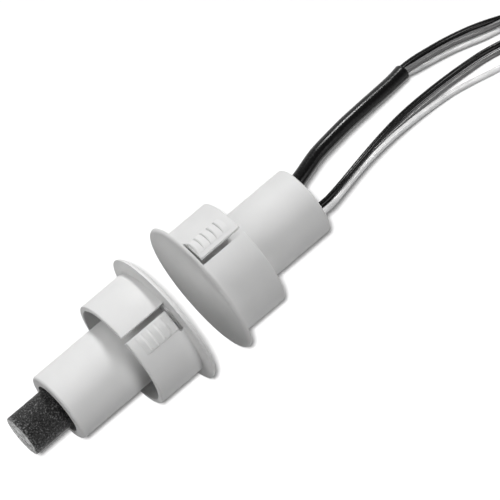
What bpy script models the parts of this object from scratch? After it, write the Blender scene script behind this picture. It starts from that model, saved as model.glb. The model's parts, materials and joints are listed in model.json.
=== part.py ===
"""Recessed magnetic door contact: a switch half with six leads, and a magnet half.

World frame, in metres. X runs along the contact's axis and Z is up. The origin is the
centre of the hole in the door frame, on the plane that the switch flange seats against.
The magnet half faces the switch half from the -X side, at the gap of a closed door.
"""
import math

import bmesh
import bpy
import numpy as np
from mathutils import Vector

MM = 0.001

# Clearances
SEAT_GAP = 0.3 * MM
FINE_GAP = 0.1 * MM

# Moulded housing, the same for both halves
FLANGE_DIAMETER = 31.0 * MM
FLANGE_THICKNESS = 2.0 * MM
FLANGE_DOME_RADIUS = 200.0 * MM
FLANGE_EDGE_RADIUS = 0.9 * MM
FLANGE_BEVEL_WIDTH = 0.8 * MM
FLANGE_BEVEL_DEPTH = 0.35 * MM
FLANGE_REAR_EDGE = 0.15 * MM
COLLAR_DIAMETER = 25.4 * MM
COLLAR_WALL = 1.1 * MM
COLLAR_LENGTH = 11.0 * MM
COLLAR_RIM_RADIUS = 0.3 * MM
TUBE_DIAMETER = 16.0 * MM
TUBE_BORE = 11.7 * MM
TUBE_LENGTH = 28.0 * MM
TUBE_END_RADIUS = 0.7 * MM
HOUSING_STEPS = 72

# Snap tabs, cut out of the collar by L-shaped slots
TAB_COUNT = 2
TAB_SLOT_ANGLE = math.radians(-2.8)
MAGNET_TAB_TURN = math.radians(-3.4)
TAB_SPAN = math.radians(24.0)
AXIAL_SLOT_WIDTH = 1.45 * MM
FLANGE_SLOT_WIDTH = 1.1 * MM
SLOT_LEDGE = 0.1 * MM
TOOTH_COUNT = 5
TOOTH_PITCH = 1.7 * MM
TOOTH_HEIGHT = 0.45 * MM
TOOTH_FOOT = 0.08 * MM
TOOTH_ROOT_DEPTH = 0.4 * MM
TOOTH_START = 0.9 * MM
TOOTH_SIDE_MARGIN = 0.9 * MM
TOOTH_ARC = 3.5 * MM

# The two halves, as a closed door holds them
DOOR_GAP = 7.5 * MM

# Bar magnet
MAGNET_DIAMETER = 9.5 * MM
MAGNET_LENGTH = 38.1 * MM
MAGNET_EDGE = 0.3 * MM
MAGNET_STEPS = 40

# Reed capsules
REED_SPACING = 4.4 * MM
GLASS_DIAMETER = 2.54 * MM
GLASS_WALL = 0.32 * MM
GLASS_END_RADIUS = 0.4 * MM
GLASS_FRONT = 2.6 * MM
GLASS_STEPS = 20
WIRE_DIAMETER = 0.5 * MM
BLADE_WIDTH = 1.0 * MM
BLADE_THICKNESS = 0.2 * MM
BLADE_TAPER = 1.0 * MM
BLADE_TIP = 0.2 * MM
BLADE_ROOT = 1.5 * MM
BLADE_OVERLAP = 1.8 * MM
CONTACT_WIDTH = 0.9 * MM
CONTACT_LENGTH = 8.1 * MM
CONTACT_STEM = 3.2 * MM
CONTACT_GAP = 0.08 * MM
OPEN_GAP = 0.25 * MM
RETURN_WIRE_HEIGHT = 1.9 * MM
RETURN_BEND_ROOM = 0.6 * MM
ROUND_SECTION = 0.414
FLAT_SECTION = 0.9

# Solder joints, where a reed's wire meets the conductor of a lead
SOLDER_DIAMETER = 1.08 * MM
SOLDER_LENGTH = 1.2 * MM
SOLDER_STAGGER = 1.5 * MM
SOLDER_STEPS = 10
FIRST_SOLDER = 1.3 * MM
CONDUCTOR_LEAD_IN = 0.6 * MM
CONDUCTOR_SPACING = 0.7 * MM
WIRING_ROOM = 5.4 * MM

# Potting in the rear end of the switch tube
POTTING_LENGTH = 3.7 * MM
POTTING_RECESS = 0.8 * MM
POTTING_EDGE = 0.2 * MM
LEAD_HOLE_GAP = 0.15 * MM
POTTING_STEPS = 36
LEAD_HOLE_STEPS = 16
CUTTER_REACH = 1.0 * MM

# Leads
LEAD_DIAMETER = 1.3 * MM
LEAD_STRIP = 0.8 * MM
LEAD_GROUP_INSET = 2.1 * MM
LEAD_GROUP_RISE = 0.2 * MM
POINT_SPACING = 3.3 * MM
SLEEVE_DIAMETER = 3.35 * MM
SLEEVE_BORE = 3.0 * MM
SLEEVE_SIDES = 16

# Coil of the leads' spare length, on the surface under the flanges
COIL_FROM_TUBE = 92.7 * MM
COIL_SIDE = 8.0 * MM
COIL_RADIUS = 19.5 * MM
COIL_COLUMNS = 3
COIL_LAYERS = 2
COIL_PASSES = 2
COIL_PITCH = 1.42 * MM
COIL_SLACK = 0.15 * MM
COIL_STEPS = 48
TIE_WIDTH = 2.5 * MM
TIE_THICKNESS = 0.6 * MM
TIE_HEAD = 2.2 * MM
TIE_HEAD_WIDTH = 3.1 * MM
TIE_ANGLES = (math.radians(-10.0), math.radians(170.0))

# Radii and places that follow from the sizes above
FLANGE_R = FLANGE_DIAMETER / 2
COLLAR_R = COLLAR_DIAMETER / 2
TUBE_R = TUBE_DIAMETER / 2
BORE_R = TUBE_BORE / 2
LEAD_R = LEAD_DIAMETER / 2
WIRE_R = WIRE_DIAMETER / 2
FLOOR_Z = -FLANGE_R
MAGNET_SEAT_X = -2 * FLANGE_THICKNESS - DOOR_GAP
MAGNET_SIDE_SHIFT = BORE_R - MAGNET_DIAMETER / 2 - SEAT_GAP
POTTING_REAR = TUBE_LENGTH - POTTING_RECESS
POTTING_FRONT = POTTING_REAR - POTTING_LENGTH
LEAD_START = POTTING_FRONT - LEAD_STRIP
GLASS_REAR = LEAD_START - WIRING_ROOM
CONTACT_TIP = GLASS_REAR - CONTACT_LENGTH
BLADE_START = GLASS_FRONT + BLADE_ROOT
BLADE_LENGTH = CONTACT_TIP + BLADE_OVERLAP - BLADE_START
LEAD_GROUP_SIDE = BORE_R - LEAD_GROUP_INSET
COIL_CENTRE = (TUBE_LENGTH + COIL_FROM_TUBE, COIL_SIDE)
OPEN_BLADE_Z = -(BLADE_THICKNESS + CONTACT_GAP)
CLOSED_BLADE_Z = BLADE_THICKNESS + OPEN_GAP

# Lead routes from the tube's end. Each station is the middle of a group of three leads, as
# its distance behind the tube, y and z in millimetres. Each lead's place there is its distance
# to the left and up, looking along the route. The first two stations lie inside the tube.
SLEEVED_ROUTE = [
    (3.5, 4.5, 0.15), (8.3, 5.8, -0.1), (13.0, 6.5, -0.6), (17.8, 7.1, -1.3),
    (22.5, 7.5, -2.1), (27.2, 7.9, -3.1), (31.6, 8.3, -4.1), (35.6, 8.9, -5.2),
    (39.0, 8.9, -6.4), (43.2, 8.7, -8.1), (49.4, 8.1, -10.4), (57.0, 6.4, -12.4),
    (65.5, 3.0, -13.3), (73.7, -3.0, -13.3), (81.9, -10.7, -13.24),
]
BARE_ROUTE = [
    (3.5, -3.7, -0.25), (8.3, -2.75, -0.5), (15.3, -1.3, -1.9), (22.6, 0.1, -4.2),
    (29.0, 1.0, -6.4), (35.5, 1.6, -8.8), (42.0, 1.9, -10.9), (48.3, 1.8, -12.5),
    (55.0, 0.9, -13.5), (63.7, -1.0, -13.5), (72.5, -4.6, -13.3), (81.9, -10.7, -13.24),
]
SLEEVE_STATIONS = 10
SLEEVED_LANES = {
    "black": [(0.78, 0.0)] * 10 + [(1.0, 0.1), (1.1, 0.2), (1.3, 0.1), (1.5, 0.0),
                                   (1.45, -0.4), (1.42, -0.71), (1.42, -0.71)],
    "grey": [(-0.39, 0.68)] * 10 + [(-0.35, 0.4), (-0.25, 0.45), (-0.1, 0.4), (0.0, 0.2),
                                    (0.75, 0.8), (1.42, 0.71), (1.42, 0.71)],
    "white": [(-0.39, -0.68)] * 10 + [(-0.75, -0.95), (-1.0, -0.7), (-1.3, -0.3),
                                      (-1.45, -0.2), (-0.1, -0.5), (0.0, -0.71),
                                      (0.0, -0.71)],
}
BARE_LANES = {
    "black": [(0.72, 0.5)] * 3 + [(0.5, 0.45), (0.6, 0.4), (0.8, 0.5), (1.1, 0.3), (1.25, 0.3),
                                  (1.35, 0.2), (1.45, 0.2), (1.8, 0.1), (1.3, 0.2), (0.5, 0.6),
                                  (0.0, 0.71)],
    "grey": [(0.05, -0.98)] * 3 + [(0.8, -0.95), (0.6, -1.0), (0.15, -0.75), (0.0, -0.5),
                                   (-0.05, -0.2), (0.0, -0.1), (0.05, -0.2), (0.4, -0.3),
                                   (-0.2, 0.0), (-1.0, 0.5), (-1.42, 0.71)],
    "white": [(-0.72, 0.3)] * 3 + [(-0.6, -0.4), (-0.6, -0.25), (-0.95, 0.05), (-1.25, 0.1),
                                   (-1.45, -0.2), (-1.75, -0.4), (-2.4, -0.6), (-2.75, -0.7),
                                   (-2.3, -0.7), (-1.8, -0.7), (-1.42, -0.71)],
}
LEAD_COLOURS = {
    "black": (0.012, 0.012, 0.013),
    "grey": (0.16, 0.16, 0.165),
    "white": (0.80, 0.80, 0.79),
}


# Scene and materials

def clear_scene():
    for obj in list(bpy.data.objects):
        bpy.data.objects.remove(obj, do_unlink=True)


def new_collection(name):
    collection = bpy.data.collections.new(name)
    bpy.context.scene.collection.children.link(collection)
    return collection


def give_material(obj, colour, roughness, metallic=0.0, transmission=0.0):
    material = bpy.data.materials.new(obj.name + "_finish")
    material.use_nodes = True
    shader = material.node_tree.nodes["Principled BSDF"]
    shader.inputs["Base Color"].default_value = (*colour, 1.0)
    shader.inputs["Roughness"].default_value = roughness
    shader.inputs["Metallic"].default_value = metallic
    shader.inputs["Transmission Weight"].default_value = transmission
    obj.data.materials.append(material)


# Mesh helpers

def add_object(name, mesh, collection):
    obj = bpy.data.objects.new(name, mesh)
    collection.objects.link(obj)
    return obj


def face_outwards(bm):
    bmesh.ops.recalc_face_normals(bm, faces=bm.faces)
    if bm.calc_volume(signed=True) < 0.0:
        bmesh.ops.reverse_faces(bm, faces=bm.faces)


def mesh_from(bm, name):
    face_outwards(bm)
    mesh = bpy.data.meshes.new(name)
    bm.to_mesh(mesh)
    bm.free()
    return mesh


def turned(name, outline, steps, collection):
    """A piece turned about its own Z from an outline of (radius, height) points."""
    bm = bmesh.new()
    corners = [bm.verts.new((radius, 0.0, height)) for radius, height in outline]
    for start, end in zip(corners, corners[1:]):
        bm.edges.new((start, end))
    if outline[0][0] > 0.0:
        bm.edges.new((corners[-1], corners[0]))
    mesh = bpy.data.meshes.new(name)
    bm.to_mesh(mesh)
    bm.free()
    obj = add_object(name, mesh, collection)
    screw = obj.modifiers.new("turn", "SCREW")
    screw.axis = "Z"
    screw.steps = steps
    screw.render_steps = steps
    screw.use_merge_vertices = True
    screw.merge_threshold = 0.00001
    return settle(obj)


def turned_sector(name, outline, start_angle, span, steps, collection):
    """A closed part of a turned ring, from an outline of (radius, height) points."""
    bm = bmesh.new()
    cosine = math.cos(start_angle)
    sine = math.sin(start_angle)
    corners = [bm.verts.new((r * cosine, r * sine, z)) for r, z in outline]
    face = bm.faces.new(corners)
    bmesh.ops.spin(
        bm, geom=[face, *face.edges, *face.verts], cent=(0, 0, 0), axis=(0, 0, 1),
        angle=span, steps=steps, use_duplicate=False,
    )
    return add_object(name, mesh_from(bm, name), collection)


def combine(obj, other, operation):
    boolean = obj.modifiers.new(operation.lower(), "BOOLEAN")
    boolean.operation = operation
    boolean.solver = "EXACT"
    boolean.object = other
    other.hide_render = True
    other.display_type = "WIRE"


def settle(obj, sharp_degrees=35.0):
    """Applies the modifiers and shades the mesh smooth, with its real edges sharp."""
    depsgraph = bpy.context.evaluated_depsgraph_get()
    evaluated = obj.evaluated_get(depsgraph)
    mesh = bpy.data.meshes.new_from_object(evaluated, depsgraph=depsgraph)
    obj.modifiers.clear()
    obj.data = mesh
    bm = bmesh.new()
    bm.from_mesh(mesh)
    bmesh.ops.remove_doubles(bm, verts=bm.verts, dist=0.000001)
    face_outwards(bm)
    bm.to_mesh(mesh)
    bm.free()
    mesh.shade_smooth()
    mesh.set_sharp_from_angle(angle=math.radians(sharp_degrees))
    return obj


def arc_points(centre, radius, start_degrees, end_degrees, count):
    """Points of an arc in an outline's plane, both ends included."""
    points = []
    for index in range(count + 1):
        angle = math.radians(start_degrees + (end_degrees - start_degrees) * index / count)
        points.append((centre[0] + radius * math.cos(angle), centre[1] + radius * math.sin(angle)))
    return points


def lay_along_x(obj, place, towards=1):
    """Turns a piece made about Z onto the contact's axis, pointing along +X or -X."""
    obj.rotation_euler = (0.0, towards * math.pi / 2, 0.0)
    obj.location = place


def round_wire(name, points, radius, collection, sides=8, caps=True):
    """A tube along the points, which are in metres."""
    curve = bpy.data.curves.new(name, "CURVE")
    curve.dimensions = "3D"
    spline = curve.splines.new("POLY")
    spline.points.add(len(points) - 1)
    for target, point in zip(spline.points, points):
        target.co = (*point, 1.0)
    curve.bevel_depth = radius
    curve.bevel_resolution = (sides - 4) // 2
    curve.use_fill_caps = caps
    return add_object(name, curve, collection)


# Routes

def read_curve(stations, spacing):
    """Reads even points from a smooth curve through the stations, of any dimension."""
    knots = np.array(stations, dtype=float)
    first = 2 * knots[0] - knots[1]
    last = 2 * knots[-1] - knots[-2]
    padded = np.vstack([first, knots, last])
    points = [knots[0]]
    for index in range(len(knots) - 1):
        p0, p1, p2, p3 = padded[index:index + 4]
        count = max(1, round(float(np.linalg.norm((p2 - p1)[:3])) / spacing))
        for step in range(1, count + 1):
            t = step / count
            point = 2 * p1 + (p2 - p0) * t
            point = point + (2 * p0 - 5 * p1 + 4 * p2 - p3) * t * t
            point = point + (3 * p1 - p0 - 3 * p2 + p3) * t ** 3
            points.append(point / 2)
    return np.array(points)


def whole_route(side, beyond):
    """A group's stations, from the leads' start inside the tube to the coil."""
    middle = side * LEAD_GROUP_SIDE / MM, side * LEAD_GROUP_RISE / MM
    tube_end = TUBE_LENGTH / MM
    inside = [(LEAD_START / MM, *middle), (tube_end, *middle)]
    return inside + [(tube_end + x, y, z) for x, y, z in beyond]


def lane_points(route, lane):
    """Points of one lead, beside the middle of its group's route."""
    stations = [(*middle, *aside) for middle, aside in zip(route, lane)]
    read = read_curve(stations, POINT_SPACING / MM)
    middle = read[:, :3]
    tangent = np.gradient(middle, axis=0)
    tangent /= np.linalg.norm(tangent, axis=1)[:, None]
    left = np.cross([0.0, 0.0, 1.0], tangent)
    left /= np.linalg.norm(left, axis=1)[:, None]
    up = np.cross(tangent, left)
    return (middle + left * read[:, 3:4] + up * read[:, 4:5]) * MM


def coil_outer_radius():
    half_width = (COIL_COLUMNS - 1) / 2 * COIL_PITCH + LEAD_R
    return COIL_RADIUS + half_width + COIL_SLACK


def coil_inner_radius():
    half_width = (COIL_COLUMNS - 1) / 2 * COIL_PITCH + LEAD_R
    last_pass = COIL_RADIUS - (COIL_PASSES - 1) * COIL_COLUMNS * COIL_PITCH
    return last_pass - half_width - COIL_SLACK


def coil_bottom():
    return FLOOR_Z + TIE_THICKNESS + SEAT_GAP


def coil_top():
    return coil_bottom() + LEAD_DIAMETER + (COIL_LAYERS - 1) * COIL_PITCH + COIL_SLACK


def before_coil(points):
    """The part of a lead's points that lies clear of the coil."""
    limit = coil_outer_radius() + LEAD_R + SEAT_GAP
    kept = []
    for point in points:
        from_centre = math.hypot(point[0] - COIL_CENTRE[0], point[1] - COIL_CENTRE[1])
        if from_centre < limit:
            break
        kept.append(point)
    return kept


# Housing

def housing_outline():
    """Flange, hollow collar and tube in one section, as (radius, height) points."""
    edge = FLANGE_EDGE_RADIUS
    rim = COLLAR_RIM_RADIUS
    end = TUBE_END_RADIUS
    collar_inner = COLLAR_R - COLLAR_WALL
    dome_centre = FLANGE_DOME_RADIUS - FLANGE_THICKNESS
    dome_span = math.degrees(math.asin((FLANGE_R - edge) / (FLANGE_DOME_RADIUS - edge)))
    edge_height = dome_centre - (FLANGE_DOME_RADIUS - edge) * math.cos(math.radians(dome_span))
    outline = arc_points((0.0, dome_centre), FLANGE_DOME_RADIUS, -90, dome_span - 90, 3)
    outline[0] = (0.0, -FLANGE_THICKNESS)
    outline += arc_points((FLANGE_R - edge, edge_height), edge, dome_span - 90, 0, 4)[1:]
    outline += [
        (FLANGE_R - FLANGE_REAR_EDGE, -FLANGE_BEVEL_DEPTH), (FLANGE_R - FLANGE_BEVEL_WIDTH, 0.0),
        (COLLAR_R, 0.0),
    ]
    outline += arc_points((COLLAR_R - rim, COLLAR_LENGTH - rim), rim, 0, 90, 2)
    outline += [(collar_inner, COLLAR_LENGTH), (collar_inner, 0.0), (TUBE_R, 0.0)]
    outline += arc_points((TUBE_R - end, TUBE_LENGTH - end), end, 0, 90, 3)
    outline += [(BORE_R, TUBE_LENGTH), (BORE_R, 0.0), (0.0, 0.0)]
    return outline


def slot_cutter(name, bottom, top, start_angle, span, cutters):
    inner = COLLAR_R - COLLAR_WALL - SEAT_GAP
    outer = COLLAR_R + TOOTH_HEIGHT + SEAT_GAP
    outline = [(inner, bottom), (outer, bottom), (outer, top), (inner, top)]
    steps = max(2, round(math.degrees(span) / 5))
    return turned_sector(name, outline, start_angle, span, steps, cutters)


def tooth_comb(name, start_angle, cutters):
    """Saw teeth that rise towards the flange, so that the tab goes in but not out."""
    foot = COLLAR_R + TOOTH_FOOT
    tip = COLLAR_R + TOOTH_HEIGHT
    root = COLLAR_R - TOOTH_ROOT_DEPTH
    outline = [(root, TOOTH_START)]
    for index in range(TOOTH_COUNT):
        outline.append((tip, TOOTH_START + index * TOOTH_PITCH))
        outline.append((foot, TOOTH_START + (index + 1) * TOOTH_PITCH))
    outline.append((root, TOOTH_START + TOOTH_COUNT * TOOTH_PITCH))
    return turned_sector(name, outline, start_angle, TOOTH_ARC / COLLAR_R, 4, cutters)


def cut_snap_tab(housing, number, turn, cutters):
    """One tab: the teeth, cut off at the front by a slot along the flange, and an axial slot."""
    slot_angle = AXIAL_SLOT_WIDTH / COLLAR_R
    edge = TAB_SLOT_ANGLE + turn
    beyond_rim = COLLAR_LENGTH + AXIAL_SLOT_WIDTH
    slot_top = SLOT_LEDGE + FLANGE_SLOT_WIDTH
    axial = slot_cutter(
        f"axial_slot_{housing.name}_{number}", SLOT_LEDGE, beyond_rim,
        edge - slot_angle / 2, slot_angle, cutters)
    along = slot_cutter(
        f"flange_slot_{housing.name}_{number}", SLOT_LEDGE, slot_top,
        edge - slot_angle / 2 - TAB_SPAN, TAB_SPAN + slot_angle / 2, cutters)
    side = edge - slot_angle / 2 - (TOOTH_SIDE_MARGIN + TOOTH_ARC) / COLLAR_R
    teeth = tooth_comb(f"teeth_{housing.name}_{number}", side, cutters)
    combine(housing, teeth, "UNION")
    combine(housing, axial, "DIFFERENCE")
    combine(housing, along, "DIFFERENCE")


def make_housing(name, tab_turn, collection, cutters):
    housing = turned(name, housing_outline(), HOUSING_STEPS, collection)
    for number in range(TAB_COUNT):
        turn = tab_turn + number * 2 * math.pi / TAB_COUNT
        cut_snap_tab(housing, number + 1, turn, cutters)
    settle(housing)
    give_material(housing, (0.84, 0.84, 0.83), 0.35)
    return housing


# Magnet half

def make_magnet_half(collection, cutters):
    carrier = add_object("magnet_half", None, collection)
    carrier.location = (MAGNET_SEAT_X, 0.0, 0.0)
    housing = make_housing("magnet_housing", MAGNET_TAB_TURN, collection, cutters)
    housing.parent = carrier
    lay_along_x(housing, (0.0, 0.0, 0.0), towards=-1)
    edge = MAGNET_EDGE
    radius = MAGNET_DIAMETER / 2
    outline = [
        (0.0, 0.0), (radius - edge, 0.0), (radius, edge), (radius, MAGNET_LENGTH - edge),
        (radius - edge, MAGNET_LENGTH), (0.0, MAGNET_LENGTH),
    ]
    magnet = turned("bar_magnet", outline, MAGNET_STEPS, collection)
    magnet.parent = carrier
    lay_along_x(magnet, (-SEAT_GAP, MAGNET_SIDE_SHIFT, 0.0), towards=-1)
    give_material(magnet, (0.10, 0.10, 0.10), 0.55, metallic=0.6)


# Reed switches

def make_glass(number, side, collection):
    """A capsule drawn in round its wires at both ends."""
    radius = GLASS_DIAMETER / 2
    inner = radius - GLASS_WALL
    front_hole = WIRE_R + FINE_GAP
    rear_hole = CLOSED_BLADE_Z + WIRE_R + FINE_GAP
    end = GLASS_END_RADIUS
    length = GLASS_REAR - GLASS_FRONT
    outline = [(front_hole, 0.0)]
    outline += arc_points((radius - end, end), end, -90, 0, 3)
    outline += arc_points((radius - end, length - end), end, 0, 90, 3)
    outline += [
        (rear_hole, length), (rear_hole, length - 2 * end), (inner, length - 3 * end),
        (inner, 2 * end), (front_hole, end),
    ]
    glass = turned(f"reed_{number}_glass", outline, GLASS_STEPS, collection)
    lay_along_x(glass, (GLASS_FRONT, side, 0.0))
    give_material(glass, (0.75, 0.85, 0.78), 0.05, transmission=0.9)


def flattened_wire(name, stations, collection):
    """A round wire pressed flat in places. Each station is its x along the wire, half the
    width and half the thickness there, and how square the section is."""
    bm = bmesh.new()
    rings = []
    for x, width, thick, square in stations:
        corners = [
            (width, thick * square), (width * square, thick),
            (-width * square, thick), (-width, thick * square),
            (-width, -thick * square), (-width * square, -thick),
            (width * square, -thick), (width, -thick * square),
        ]
        rings.append([bm.verts.new((x, y, z)) for y, z in corners])
    for ring, following in zip(rings, rings[1:]):
        for index in range(len(ring)):
            after = (index + 1) % len(ring)
            bm.faces.new((ring[index], ring[after], following[after], following[index]))
    bm.faces.new(rings[0])
    bm.faces.new(list(reversed(rings[-1])))
    obj = add_object(name, mesh_from(bm, name), collection)
    obj.data.set_sharp_from_angle(angle=math.radians(35))
    return obj


def make_common_blade(number, side, collection):
    """The blade that flexes between the two contacts, with its origin on its root."""
    width = BLADE_WIDTH / 2
    thick = BLADE_THICKNESS / 2
    stations = [
        (0.0, WIRE_R, thick, FLAT_SECTION),
        (BLADE_TAPER, width, thick, FLAT_SECTION),
        (BLADE_LENGTH - BLADE_TIP, width, thick, FLAT_SECTION),
        (BLADE_LENGTH, width - thick, thick * 0.8, FLAT_SECTION),
    ]
    blade = flattened_wire(f"reed_{number}_common_blade", stations, collection)
    blade.location = (BLADE_START, side, 0.0)
    give_material(blade, (0.72, 0.70, 0.66), 0.3, metallic=1.0)


def make_contact_blade(name, side, height, wire_end, collection):
    """A fixed contact: flat beside the common blade, round where it leaves the glass."""
    width = CONTACT_WIDTH / 2
    thick = BLADE_THICKNESS / 2
    flat_length = CONTACT_LENGTH - CONTACT_STEM
    stations = [
        (0.0, width - thick, thick * 0.8, FLAT_SECTION),
        (BLADE_TIP, width, thick, FLAT_SECTION),
        (flat_length, width, thick, FLAT_SECTION),
        (flat_length + BLADE_TAPER, WIRE_R, WIRE_R, ROUND_SECTION),
        (wire_end - CONTACT_TIP, WIRE_R, WIRE_R, ROUND_SECTION),
    ]
    blade = flattened_wire(name, stations, collection)
    blade.location = (CONTACT_TIP, side, height)
    give_material(blade, (0.72, 0.70, 0.66), 0.3, metallic=1.0)


def make_common_lead(number, side, wire_end, collection):
    """The common wire, bent back beside the glass so that all wires leave at the rear."""
    bend = RETURN_WIRE_HEIGHT / 2
    bend_x = GLASS_FRONT - RETURN_BEND_ROOM
    points = [(BLADE_START - FINE_GAP, side, 0.0)]
    for x, z in arc_points((bend_x, bend), bend, -90, -270, 8):
        points.append((x, side, z))
    points.append((wire_end, side, RETURN_WIRE_HEIGHT))
    wire = round_wire(f"reed_{number}_common_lead", points, WIRE_R, collection)
    give_material(wire, (0.72, 0.70, 0.66), 0.3, metallic=1.0)


def make_solder_joint(name, place, collection):
    bore = WIRE_R + FINE_GAP
    radius = SOLDER_DIAMETER / 2
    half = SOLDER_LENGTH / 2
    waist = (bore + radius) / 2
    outline = [(bore, -half), (waist, -half), (radius, 0.0), (waist, half), (bore, half)]
    solder = turned(name, outline, SOLDER_STEPS, collection)
    lay_along_x(solder, place)
    give_material(solder, (0.62, 0.62, 0.60), 0.35, metallic=1.0)


def make_conductor(name, start, end, collection):
    """The bare end of a lead, from its solder joint to its insulation."""
    stations = [
        start, (start[0] + CONDUCTOR_LEAD_IN, start[1], start[2]),
        (end[0] - CONDUCTOR_LEAD_IN, end[1], end[2]), end,
    ]
    points = read_curve(stations, CONDUCTOR_SPACING)
    wire = round_wire(name, points, WIRE_R, collection)
    give_material(wire, (0.70, 0.68, 0.64), 0.35, metallic=1.0)


def make_reed(number, side, holes, collection):
    """One changeover reed with its solder joints. holes gives, for each lead colour, where
    that lead starts, as (y, z)."""
    joint_x = GLASS_REAR + FIRST_SOLDER
    heights = {"common": RETURN_WIRE_HEIGHT, "open": OPEN_BLADE_Z, "closed": CLOSED_BLADE_Z}
    joints = {"common": joint_x, "open": joint_x + SOLDER_STAGGER, "closed": joint_x}
    make_glass(number, side, collection)
    make_common_blade(number, side, collection)
    half_gap = FINE_GAP / 2
    make_common_lead(number, side, joints["common"] - half_gap, collection)
    for role in ("open", "closed"):
        name = f"reed_{number}_{role}_blade"
        make_contact_blade(name, side, heights[role], joints[role] - half_gap, collection)
    for role, (colour, hole) in holes.items():
        place = (joints[role], side, heights[role])
        make_solder_joint(f"solder_{number}_{role}", place, collection)
        start = (joints[role] + half_gap, side, heights[role])
        end = (LEAD_START - FINE_GAP, *hole)
        make_conductor(f"conductor_{number}_{colour}", start, end, collection)


# Leads

def lead_hole(route, lane):
    """Where a lead passes through the potting, as (y, z) in metres."""
    return ((route[0][1] + lane[0][0]) * MM, (route[0][2] + lane[0][1]) * MM)


def make_potting(holes, collection, cutters):
    radius = BORE_R - SEAT_GAP
    edge = POTTING_EDGE
    outline = [
        (0.0, 0.0), (radius, 0.0), (radius, POTTING_LENGTH - edge),
        (radius - edge, POTTING_LENGTH), (0.0, POTTING_LENGTH),
    ]
    potting = turned("potting", outline, POTTING_STEPS, collection)
    lay_along_x(potting, (POTTING_FRONT, 0.0, 0.0))
    hole_radius = LEAD_R + LEAD_HOLE_GAP
    hole_outline = [
        (0.0, -CUTTER_REACH), (hole_radius, -CUTTER_REACH),
        (hole_radius, POTTING_LENGTH + CUTTER_REACH), (0.0, POTTING_LENGTH + CUTTER_REACH),
    ]
    for number, (y, z) in enumerate(holes):
        cutter = turned(f"lead_hole_{number + 1}", hole_outline, LEAD_HOLE_STEPS, cutters)
        lay_along_x(cutter, (POTTING_FRONT, y, z))
        combine(potting, cutter, "DIFFERENCE")
    settle(potting)
    give_material(potting, (0.05, 0.05, 0.055), 0.4)


def make_lead(name, route, lane, colour, collection):
    points = before_coil(lane_points(route, lane))
    lead = round_wire(name, points, LEAD_R, collection)
    give_material(lead, LEAD_COLOURS[colour], 0.35)


def make_sleeve(route, collection):
    """Shrink sleeve round the first stretch of three leads, open at both ends."""
    points = lane_points(route[:SLEEVE_STATIONS], [(0.0, 0.0)] * SLEEVE_STATIONS)
    start = POTTING_REAR + SEAT_GAP
    first = Vector((start, points[0][1], points[0][2]))
    beyond = [point for point in points if point[0] > start + POINT_SPACING / 2]
    tube = round_wire(
        "sleeve_tube", [first, *beyond], SLEEVE_DIAMETER / 2, collection, SLEEVE_SIDES, caps=False)
    depsgraph = bpy.context.evaluated_depsgraph_get()
    mesh = bpy.data.meshes.new_from_object(tube.evaluated_get(depsgraph), depsgraph=depsgraph)
    bpy.data.objects.remove(tube)
    sleeve = add_object("lead_sleeve", mesh, collection)
    shell = sleeve.modifiers.new("wall", "SOLIDIFY")
    shell.thickness = (SLEEVE_DIAMETER - SLEEVE_BORE) / 2
    shell.offset = -1.0
    shell.use_even_offset = True
    settle(sleeve)
    give_material(sleeve, (0.01, 0.01, 0.01), 0.2)


def make_coil(collection):
    inner = coil_inner_radius()
    outer = coil_outer_radius()
    height = coil_top() - coil_bottom()
    edge = LEAD_R
    outline = [
        (inner, edge), (inner + edge, 0.0), (outer - edge, 0.0), (outer, edge),
        (outer, height - edge), (outer - edge, height), (inner + edge, height),
        (inner, height - edge),
    ]
    coil = turned("lead_coil", outline, COIL_STEPS, collection)
    coil.location = (*COIL_CENTRE, coil_bottom())
    give_material(coil, (0.2, 0.2, 0.2), 0.4)


def block(name, size, collection):
    bm = bmesh.new()
    bmesh.ops.create_cube(bm, size=1.0)
    bmesh.ops.scale(bm, vec=size, verts=bm.verts)
    return add_object(name, mesh_from(bm, name), collection)


def make_tie(number, angle, collection, cutters):
    """A strap round the coil's section, with its head on the outer side."""
    gap = SEAT_GAP
    inside_width = coil_outer_radius() - coil_inner_radius() + 2 * gap
    inside_height = coil_top() - coil_bottom() + 2 * gap
    tie = block(
        f"coil_tie_{number}",
        (inside_width + 2 * TIE_THICKNESS, TIE_WIDTH, inside_height + 2 * TIE_THICKNESS),
        collection)
    bevel = tie.modifiers.new("corners", "BEVEL")
    bevel.width = TIE_THICKNESS
    bevel.segments = 2
    hollow = block(f"tie_hollow_{number}", (inside_width, 2 * TIE_WIDTH, inside_height), cutters)
    head = block(f"tie_head_{number}", (TIE_HEAD, TIE_HEAD_WIDTH, TIE_HEAD), cutters)
    middle = (coil_outer_radius() + coil_inner_radius()) / 2
    height = (coil_top() + coil_bottom()) / 2
    centre = Vector((*COIL_CENTRE, height))
    outward = Vector((math.cos(angle), math.sin(angle), 0.0))
    tie.location = centre + outward * middle
    hollow.location = tie.location
    head.location = centre + outward * (middle + inside_width / 2 + TIE_HEAD / 2 + TIE_THICKNESS / 4)
    for piece in (tie, hollow, head):
        piece.rotation_euler.z = angle
    combine(tie, hollow, "DIFFERENCE")
    combine(tie, head, "UNION")
    settle(tie)
    give_material(tie, (0.85, 0.85, 0.84), 0.4)


# Switch half

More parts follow.
